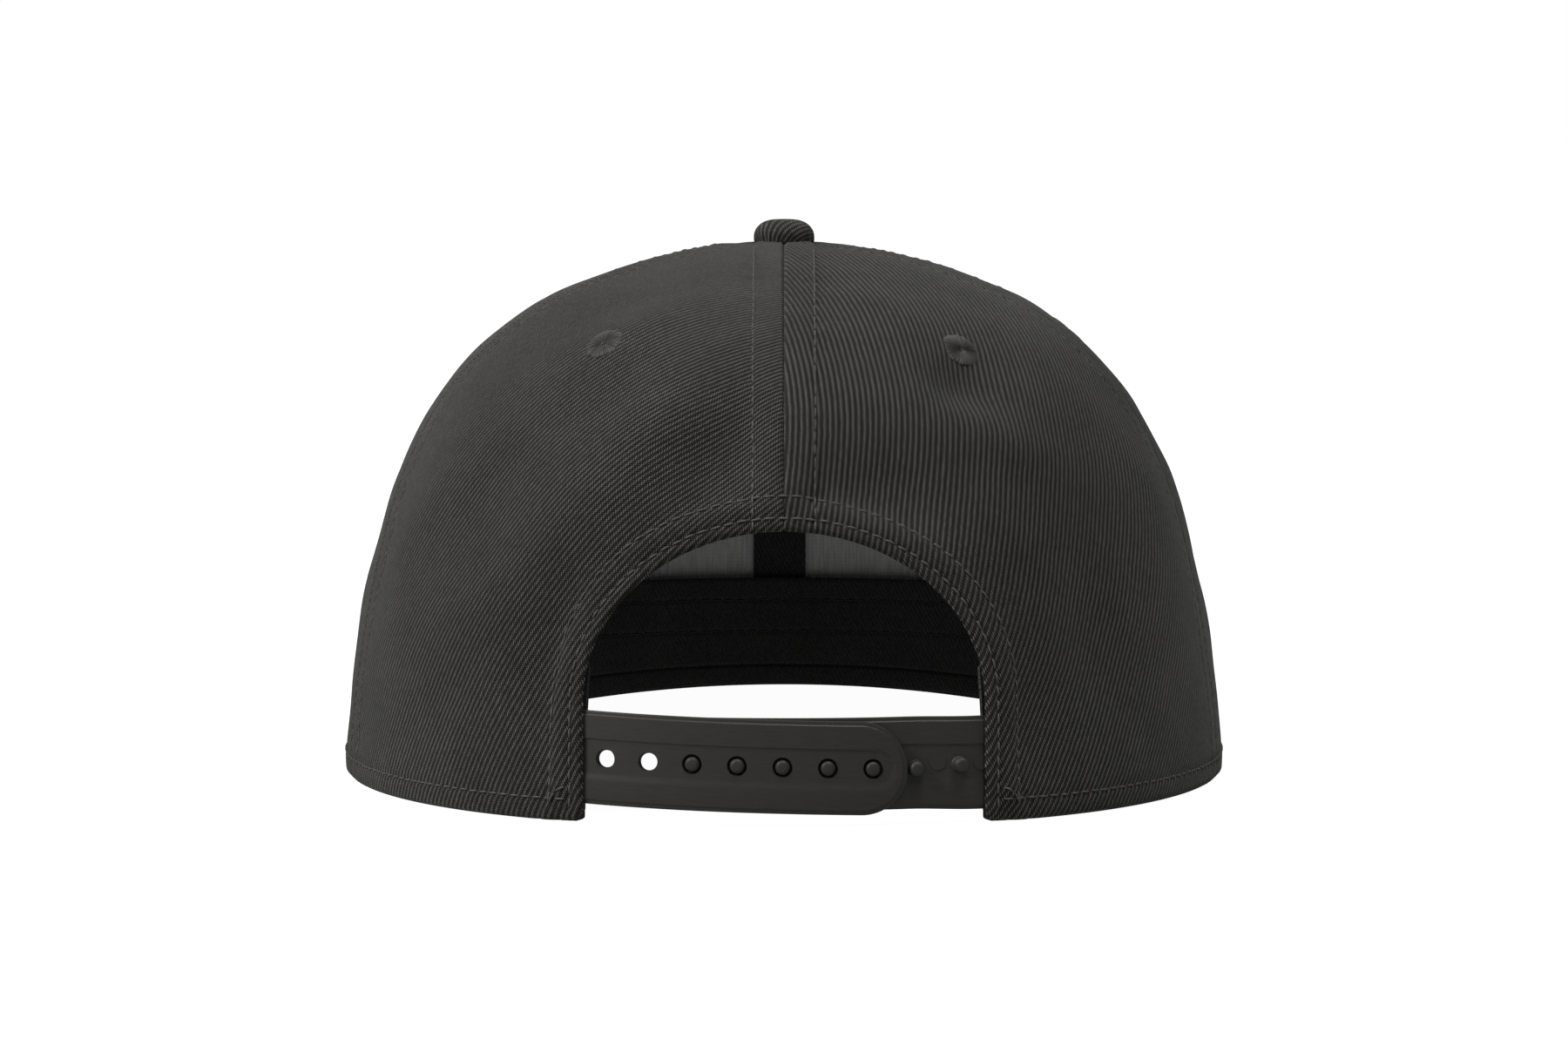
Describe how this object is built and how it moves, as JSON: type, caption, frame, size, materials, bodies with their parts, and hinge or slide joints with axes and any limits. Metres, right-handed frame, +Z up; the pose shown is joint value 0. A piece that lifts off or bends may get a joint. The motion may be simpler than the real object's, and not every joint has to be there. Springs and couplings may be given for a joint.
{
  "type": "snapback cap",
  "caption": "Six-panel cloth cap with a flat peak, stiffened front, sweatband, top button, stitched eyelets and a rear arch closed by a plastic snap strap.",
  "frame": {"origin": "below the middle of the cap's bounding box, on the surface that it rests on", "axes": "+Z up, +Y towards the peak, +X to the wearer's right; the rear arch and the strap face -Y"},
  "size_m": [0.1886, 0.2674, 0.1179],
  "materials": {
    "twill": "matt charcoal cotton twill",
    "thread": "charcoal embroidery thread",
    "buckram": "grey stiffened mesh",
    "lining": "black tape and sweatband cloth",
    "strap": "satin dark grey plastic"
  },
  "bodies": {
    "root": {"panel_rear_left": "twill", "panel_rear_right": "twill", "panel_side_left": "twill", "panel_side_right": "twill", "panel_front_left": "twill", "panel_front_right": "twill", "eyelet_rear_left": "thread", "eyelet_rear_right": "thread", "eyelet_side_left": "thread", "eyelet_side_right": "thread", "eyelet_front_left": "thread", "eyelet_front_right": "thread", "button": "twill", "buckram_left": "buckram", "buckram_right": "buckram", "tape_rear": "lining", "tape_side_left": "lining", "tape_side_right": "lining", "tape_temple_left": "lining", "tape_temple_right": "lining", "tape_front": "lining", "sweatband": "lining", "strap_left_holes": "strap", "strap_right_pegs": "strap", "peak": "twill"}
  },
  "joints": []
}
